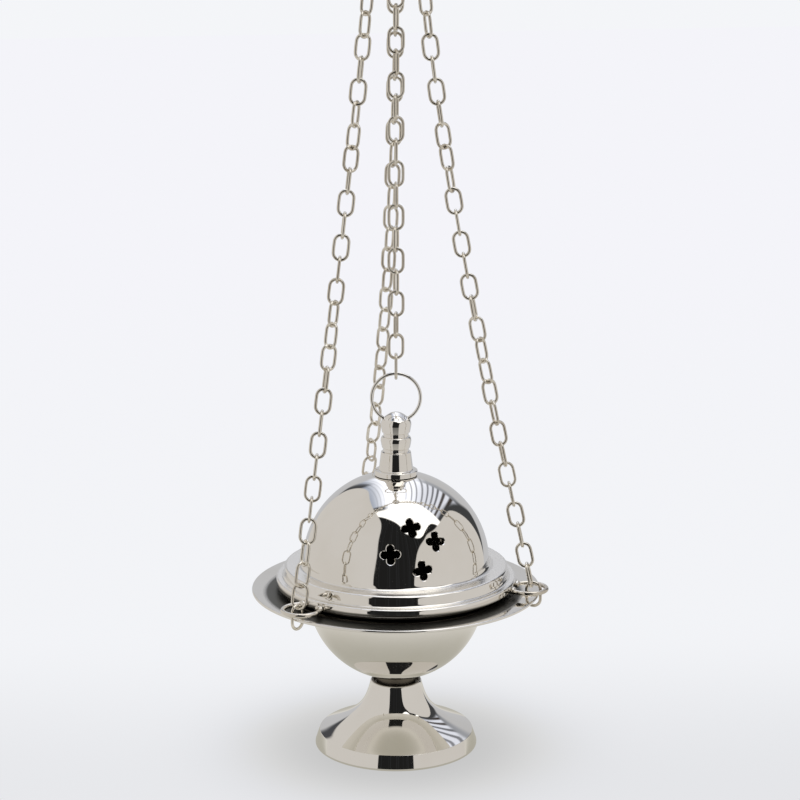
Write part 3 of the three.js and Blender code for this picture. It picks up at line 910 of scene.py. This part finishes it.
def make_screw():
    bottom, top = low("foot_screw").z, high("foot_screw").z
    head_r = high("foot_screw").x
    head_top = bottom + 2.6
    recess_r, recess_top = 0.55, bottom + 1.2
    core_r, pitch = 1.72, 0.7
    outline = [(0, recess_top), (recess_r, recess_top), (recess_r, bottom)]
    outline += [(head_r - 0.8, bottom, 0.5), (head_r, bottom + 0.8, 0.5), (head_r, head_top, 0.15)]
    outline += [(core_r + 0.03, head_top)]
    turns = int((top - head_top - 1) / pitch)
    for i in range(turns):
        z = head_top + 0.5 + i * pitch
        outline += [(core_r, z), (THREAD_R, z + pitch * 0.35), (THREAD_R, z + pitch * 0.5)]
    outline += [(core_r, top - 0.4), (1.4, top), (0, top)]
    screw = lathe("foot_bolt", rounded(outline), SMALL_TURNS)
    return finish_piece(screw, STEEL, "plain_steel", "bowl", "foot_screw")


def make_nut(name, node, body):
    """A six-sided nut with chamfered ends and a plain bore."""
    bottom, top = low(node).z, high(node).z
    wide = high(node).x
    steps = 48
    hole_r, chamfer = 2.1, 0.35
    vertices, faces = [], []
    for z, shrink in ((bottom, chamfer), (bottom + chamfer, 0), (top - chamfer, 0), (top, chamfer)):
        for k in range(steps):
            a = 360 * k / steps
            to_flat = wide * math.cos(math.radians(30)) / math.cos(math.radians((a % 60) - 30))
            vertices.append(flat(min(to_flat, wide - shrink), a) + Vector((0, 0, z)))
    for z in (bottom, top):
        for k in range(steps):
            vertices.append(flat(hole_r, 360 * k / steps) + Vector((0, 0, z)))
    outer_high, inner_low, inner_high = 3 * steps, 4 * steps, 5 * steps
    for k in range(steps):
        n = (k + 1) % steps
        for level in range(3):
            here, there = level * steps, (level + 1) * steps
            faces.append((here + k, here + n, there + n, there + k))
        faces.append((inner_low + n, n, k, inner_low + k))
        faces.append((outer_high + k, outer_high + n, inner_high + n, inner_high + k))
        faces.append((inner_low + k, inner_high + k, inner_high + n, inner_low + n))
    nut = smooth(fix_facing(mesh_object(name, vertices, faces)), 25)
    return finish_piece(nut, STEEL, "plain_steel", body, node)


# ---- Chains ----
def link_path():
    """The middle line of an oval link, its length along Z and its width along X."""
    radius = LINK_WIDTH / 2
    straight = (LINK_LENGTH - LINK_WIDTH) / 2
    bulge = 1.012
    path = []
    steps = 12
    for end, lift in ((0, straight), (180, -straight)):
        for k in range(steps + 1):
            a = math.radians(end + 180 * k / steps)
            path.append(Vector((radius * math.cos(a), 0, lift + radius * math.sin(a))))
        path.append(Vector((-radius if end == 0 else radius, 0, 0)) * bulge)
    return path


def laid_link(centre, along, across, thick=LINK_WIRE):
    """Vertices and faces of one link whose length follows `along` and whose width points to `across`."""
    length = along.normalized()
    normal = length.cross(across).normalized()
    side = normal.cross(length)
    turn = Matrix((side, normal, length)).transposed()
    path = [centre + turn @ p for p in link_path()]
    return wire(path, thick, sides=12, up=normal)


def link_group(name, links):
    vertices, faces = [], []
    for more_vertices, more_faces in links:
        base = len(vertices)
        vertices.extend(more_vertices)
        faces.extend(tuple(base + i for i in face) for face in more_faces)
    return smooth(fix_facing(mesh_object(name, vertices, faces)))


class SideLine:
    """The middle line of a side chain from its brim link to its cap link, by length along it."""

    def __init__(self, ear):
        self.low = middle(f"chain_{ear + 1}_brim_link")
        self.high = middle(f"chain_{ear + 1}_cap_link")
        self.slack = SLACK[ear]
        self.times = np.linspace(0, 1, LINE_SAMPLES)
        samples = [self.at(float(t)) for t in self.times]
        self.lengths = [0.0]
        for a, b in zip(samples, samples[1:]):
            self.lengths.append(self.lengths[-1] + (b - a).length)
        self.total = self.lengths[-1]

    def at(self, t):
        inward = 1 - (1 - t) ** self.slack
        spot = self.low.lerp(self.high, inward)
        spot.z = self.low.z + (self.high.z - self.low.z) * t
        return spot

    def along(self, length):
        t = float(np.interp(length, self.lengths, self.times))
        small = 1e-3
        ahead, behind = self.at(min(t + small, 1)), self.at(max(t - small, 0))
        return self.at(t), (ahead - behind).normalized()


def make_side_chain(ear):
    line = SideLine(ear)
    pitch = (line.total - 3 * END_STEP) / (SIDE_STEPS - 3)
    outward = flat(1, EARS[ear])
    links = []
    for i in range(SIDE_STEPS + 1):
        if i == 0:
            length = 0
        elif i <= LOWER_LINKS:
            length = END_STEP + (i - 1) * pitch
        elif i < SIDE_STEPS:
            length = 2 * END_STEP + (i - 2) * pitch
        else:
            length = line.total
        spot, along = line.along(length)
        if i in (0, SIDE_STEPS):
            along = Vector((0, 0, 1))
        turn = math.radians(90 * i + float(np.interp(i, *zip(*SIDE_TWIST[ear]))))
        across = Matrix.Rotation(turn, 3, "Z") @ outward
        thick = KNUCKLE_WIRE if i in (LOWER_LINKS, LOWER_LINKS + 1) else LINK_WIRE
        links.append(laid_link(spot, along, across, thick))
    name = f"chain_{ear + 1}"
    parts = (
        ("brim_link", "lower", links[:1]),
        ("lower_run", "lower", links[1 : LOWER_LINKS + 1]),
        ("upper_run", "upper", links[LOWER_LINKS + 1 : SIDE_STEPS]),
        ("cap_link", "upper", links[SIDE_STEPS:]),
    )
    for part, body, members in parts:
        thing = link_group(f"side_{ear + 1}_{part}s", members)
        finish_piece(thing, LINKS, "chain_nickel", f"{name}_{body}", f"{name}_{part}")


def make_centre_chain():
    first = middle("centre_chain_ring_link").z
    last = middle("centre_chain_top_link").z
    links = []
    for i in range(CENTRE_LINKS + 2):
        z = first
        if i:
            z = first + END_STEP + (min(i, CENTRE_LINKS) - 1) * CENTRE_STEP
        if i > CENTRE_LINKS:
            z = last
        wiggle = 0 if i in (0, CENTRE_LINKS + 1) else CENTRE_WIGGLE * math.sin(CENTRE_WIGGLE_STEP * i)
        across = flat(1, FINIAL_TURN + 90 * (i + 1) + wiggle)
        links.append(laid_link(Vector((0, 0, z)), Vector((0, 0, 1)), across))
    parts = (
        ("ring_link", links[:1]),
        ("run", links[1:-1]),
        ("top_link", links[-1:]),
    )
    for part, members in parts:
        thing = link_group(f"centre_{part}s", members)
        finish_piece(thing, LINKS, "chain_nickel", "lid", f"centre_chain_{part}")
    hoop = ring("pull_hoop", PULL_R, PULL_WIRE, middle("pull_ring"), flat(1, FINIAL_TURN))
    finish_piece(hoop, LINKS, "chain_nickel", "pull_ring", "pull_ring")


# ---- Studio ----
# Edges of its shapes, in the directions u and v that make_world lays out: points (v, u) of the side
# panels' inner edges, and points (u, v) of the cloth's.
LEFT_PANEL_EDGE = (
    (-100, -60), (-68, -32), (-55, -27), (-37, -22), (-15, -23), (0, -22), (12, -19),
    (24, -17), (44, -23), (64, -30), (93, -48), (140, -69),
)
RIGHT_PANEL_EDGE = (
    (-100, 84), (-74, 68), (-60, 60), (-46, 54), (-29, 47), (-15, 46.5), (10, 45), (18, 43), (28, 38),
    (37, 36), (50, 32), (64, 31), (81, 34), (101, 41), (140, 56),
)
CLOTH_NEAR_EDGE = (
    (-20, 12), (-11, 17), (7, 31), (10, 36), (17, 38), (29, 38), (34, 31), (36, 18), (40, 10), (50, 8),
)
CLOTH_FAR_EDGE = ((-20, 3), (-7, 3), (0, -7), (10, -10), (28, -6), (46, 0), (60, 4))
# Folds of the ceiling cloth: where each crosses the row v = FOLD_ROW, its half width and its depth of
# shade. They lean by FOLD_LEAN, bow by FOLD_BOW, and are brown from FIRST_BROWN on.
FOLD_ROW = -30
FOLD_LEAN = -0.14
FOLD_BOW = 0.0035
FIRST_BROWN = 37
FOLDS = (
    (-18.6, 1.0, 0.2), (-15.4, 0.9, 0.25), (-12.2, 0.8, 0.2), (-9.4, 0.9, 0.15),
    (7.6, 0.9, 0.45), (12.4, 1.0, 0.6), (16.6, 1.0, 0.65), (21.4, 1.2, 0.7), (25.6, 1.1, 0.75),
    (29.6, 1.2, 0.8), (33.2, 1.3, 0.85), (37.6, 1.8, 0.95), (43.4, 2.4, 1.0),
)
STUDIO_SPAN = 180
SIDE_PANEL = (0.66, 0.635, 0.605)
SLIT = (0.014, 0.014, 0.014)
SLIT_STREAK = (0.026, 0.027, 0.029)
CLOTH = (1.5, 1.48, 1.45)
CLOTH_GAP = (0.06, 0.06, 0.063)
CEILING = (0.86, 0.90, 1.02)
CEILING_BRIGHT = (1.5, 1.55, 1.7)
CEILING_LEFT = (0.42, 0.47, 0.58)
CEILING_RIGHT = (0.19, 0.20, 0.225)
FOLD_GREY = (0.065, 0.065, 0.075)
FOLD_BROWN = (0.055, 0.043, 0.037)
BAND_NEAR = (0.42, 0.44, 0.49)
BAND_FAR = (0.10, 0.104, 0.115)
WALL = (0.56, 0.565, 0.585)
WALL_PATCH = (0.055, 0.057, 0.06)
WALL_CORNER = (0.07, 0.072, 0.08)
BACKDROP = (0.905, 0.915, 0.94)


def make_ceiling(nodes, u, v):
    """The bright cloth behind the one overhead. Its pleats run down and to the right, and bow."""
    row = nodes.math("ADD", v, -FOLD_ROW)
    sweep = nodes.math("MULTIPLY_ADD", row, FOLD_LEAN, u)
    sweep = nodes.math("MULTIPLY_ADD", nodes.math("MULTIPLY", row, row), FOLD_BOW, sweep)
    bright = nodes.mix(nodes.step(u, -24, -4), CEILING_LEFT, CEILING_BRIGHT)
    ceiling = nodes.mix(nodes.step(u, 2, 26), bright, CEILING)
    for at, half, depth in FOLDS:
        off = nodes.math("ABSOLUTE", nodes.math("SUBTRACT", sweep, at))
        shade = nodes.math("MULTIPLY", nodes.step(off, half, half * 0.25), depth)
        ceiling = nodes.mix(shade, ceiling, FOLD_BROWN if at > FIRST_BROWN else FOLD_GREY)
    slant = nodes.math("ADD", nodes.math("MULTIPLY_ADD", v, 0.18, sweep), 5.4)
    ceiling = nodes.mix(nodes.step(slant, 46, 48.5), ceiling, CEILING_RIGHT)
    band = nodes.mix(nodes.step(u, 14, 60), BAND_NEAR, BAND_FAR)
    return nodes.mix(nodes.area((u, 8, 20), (v, -50, -56)), ceiling, band)


def make_world():
    """A fabric tent seen only in reflections: two warm side panels with a dark slit for the camera
    between them, a white cloth overhead, a pleated bright ceiling behind it and a pale back wall.
    Directions are laid out flat round the zenith: u to the right and v towards the camera, degrees."""
    world = bpy.data.worlds.new("studio")
    bpy.context.scene.world = world
    world.use_nodes = True
    tree = world.node_tree
    tree.nodes.clear()
    nodes = Nodes(tree)
    direction = nodes.add("ShaderNodeTexCoord").outputs["Generated"]
    x, y, z = nodes.view_axes(direction)
    square = nodes.math("MULTIPLY_ADD", x, x, nodes.math("MULTIPLY", y, y))
    flat_length = nodes.math("MAXIMUM", nodes.math("SQRT", square), 1e-5)
    zenith = nodes.math("MULTIPLY", nodes.math("ARCCOSINE", z), 180 / math.pi)
    scale = nodes.math("DIVIDE", zenith, flat_length)
    u = nodes.math("MULTIPLY", scale, x)
    v = nodes.math("MULTIPLY", nodes.math("MULTIPLY", scale, y), -1)

    left = nodes.math("SUBTRACT", nodes.curve(v, LEFT_PANEL_EDGE, STUDIO_SPAN), u)
    right = nodes.math("SUBTRACT", u, nodes.curve(v, RIGHT_PANEL_EDGE, STUDIO_SPAN))
    near = nodes.math("SUBTRACT", v, nodes.curve(u, CLOTH_NEAR_EDGE, STUDIO_SPAN))
    far = nodes.math("SUBTRACT", nodes.curve(u, CLOTH_FAR_EDGE, STUDIO_SPAN), v)

    back = nodes.mix(nodes.step(v, -66, -57), WALL, make_ceiling(nodes, u, v))
    back = nodes.mix(nodes.area((u, 39, 45), (u, 70, 66), (v, -75, -71)), back, WALL_PATCH)
    back = nodes.mix(nodes.area((left, -10, -3), (v, -72, -66), (v, -42, -50)), back, WALL_CORNER)
    tent = nodes.mix(nodes.step(far, 1.5, -1.5), back, CLOTH)
    tent = nodes.mix(nodes.area((u, -6, -14), (v, -3, 0.5), (v, 7, 3)), tent, CLOTH_GAP)
    streaks = tree.nodes.new("ShaderNodeTexNoise")
    streaks.noise_dimensions = "1D"
    nodes.put(streaks, "W", nodes.math("ARCTAN2", u, v))
    nodes.put(streaks, "Scale", 26)
    slit = nodes.mix(nodes.step(streaks.outputs[0], 0.5, 0.72), SLIT, SLIT_STREAK)
    tent = nodes.mix(nodes.step(near, -1, 1), tent, slit)
    tent = nodes.mix(nodes.step(right, -0.7, 0.7), tent, SIDE_PANEL)
    tent = nodes.mix(nodes.step(left, -0.7, 0.7), tent, SIDE_PANEL)

    camera = nodes.add("ShaderNodeLightPath").outputs["Is Camera Ray"]
    backdrop = nodes.mix(camera, tent, BACKDROP)
    background = nodes.add("ShaderNodeBackground", Color=backdrop, Strength=1.0)
    output = nodes.add("ShaderNodeOutputWorld")
    nodes.put(output, "Surface", background.outputs[0])


# The table as the camera sees it: how much a ring round the foot, the front and the right are darkened,
# and where the ring is darkest and how wide it is.
RING_SHADE = -0.276
RING_AT = 29.0
RING_WIDTH = 39.3
FRONT_SHADE = -0.102
RIGHT_SHADE = -0.022
IN_SHADE = (0.907, 0.907, 0.907)
IN_LIGHT = (0.893, 0.902, 0.930)
FAR_OFF = (0.905, 0.905, 0.948)
# The table's glow in the metal, under the object and beside it; the darker glow under the object is painted
# shade.
GLOW_UNDER = (0.47, 0.455, 0.40)
GLOW_BESIDE = (0.70, 0.68, 0.635)


def make_floor():
    """A pale table that shines by itself. The camera sees it shaded near the object and even further
    out. The metal mirrors it as a warm glow near the object, and not at all further off."""
    half = 6000
    corners = [(-half, -half, 0), (half, -half, 0), (half, half, 0), (-half, half, 0)]
    floor = mesh_object("table_top", corners, [(0, 1, 2, 3)])
    material = bpy.data.materials.new("table_white")
    material.use_nodes = True
    tree = material.node_tree
    tree.nodes.clear()
    nodes = Nodes(tree)
    place = nodes.add("ShaderNodeNewGeometry").outputs["Position"]
    # From here on, places are in metres.
    across, depth, _ = nodes.view_axes(place)
    away = nodes.length(place)

    ring_off = nodes.math("DIVIDE", nodes.math("SUBTRACT", away, RING_AT * MM), RING_WIDTH * MM)
    bell = nodes.math("MULTIPLY", nodes.math("MULTIPLY", ring_off, ring_off), -1)
    light = nodes.math("MULTIPLY_ADD", nodes.math("EXPONENT", bell), RING_SHADE, 1)
    front = nodes.math("MULTIPLY", nodes.step(depth, 0.15, -0.06), FRONT_SHADE)
    light = nodes.math("ADD", light, front)
    right = nodes.area((depth, 0.2, 0.0), (across, -0.01, 0.10))
    light = nodes.math("MULTIPLY_ADD", right, RIGHT_SHADE, light)
    tone = nodes.mix(nodes.step(light, 0.72, 0.88), IN_SHADE, IN_LIGHT)
    tone = nodes.mix(nodes.step(depth, 0.1, 1.5), tone, FAR_OFF)
    shaded = nodes.add("ShaderNodeEmission", Color=tone, Strength=light).outputs[0]
    warm = nodes.mix(nodes.step(away, 0.04, 0.14), GLOW_UNDER, GLOW_BESIDE)
    glow = nodes.add("ShaderNodeEmission", Color=warm, Strength=1.0).outputs[0]
    clear = nodes.add("ShaderNodeBsdfTransparent").outputs[0]
    mirrored = nodes.blend(nodes.step(away, 0.12, 0.3), glow, clear)
    camera = nodes.add("ShaderNodeLightPath").outputs["Is Camera Ray"]
    output = nodes.add("ShaderNodeOutputMaterial")
    nodes.put(output, "Surface", nodes.blend(camera, mirrored, shaded))
    floor.data.materials.append(material)


def make_light():
    """A large soft lamp overhead for matte surfaces. It is left out of reflections, and so of the metal."""
    lamp = bpy.data.lights.new("overhead", "AREA")
    lamp.shape = "DISK"
    lamp.size = 0.9
    lamp.energy = 9.0
    thing = bpy.data.objects.new("overhead", lamp)
    thing.location = (0.1, 0.1, 1.1)
    thing.visible_glossy = False
    bpy.context.scene.collection.objects.link(thing)


def make_camera():
    data = bpy.data.cameras.new("camera")
    data.lens = LENS
    data.sensor_width = 36
    data.shift_x = VIEW_SHIFT
    camera = bpy.data.objects.new("camera", data)
    azimuth = math.radians(VIEW_AZIMUTH)
    camera.location = (
        VIEW_DISTANCE * math.sin(azimuth),
        -VIEW_DISTANCE * math.cos(azimuth),
        VIEW_HEIGHT,
    )
    camera.rotation_euler = (math.radians(90 - VIEW_PITCH), 0, azimuth)
    bpy.context.scene.collection.objects.link(camera)
    bpy.context.scene.camera = camera


make_foot()
make_screw()
make_washer("foot_disc", "foot_washer", "bowl")
make_bowl()
make_washer("bowl_disc", "bowl_washer", "bowl")
make_nut("bowl_hex", "bowl_nut", "bowl")
make_pan()
make_lid()
make_collar()
make_finial()
make_washer("crown_disc", "finial_washer", "lid")
make_nut("crown_hex", "finial_nut", "lid")
for each in range(3):
    make_guide_ring(each)
    make_side_chain(each)
make_centre_chain()
make_cap()
make_world()
make_floor()
make_light()
make_camera()
bpy.context.scene.view_settings.view_transform = "Standard"
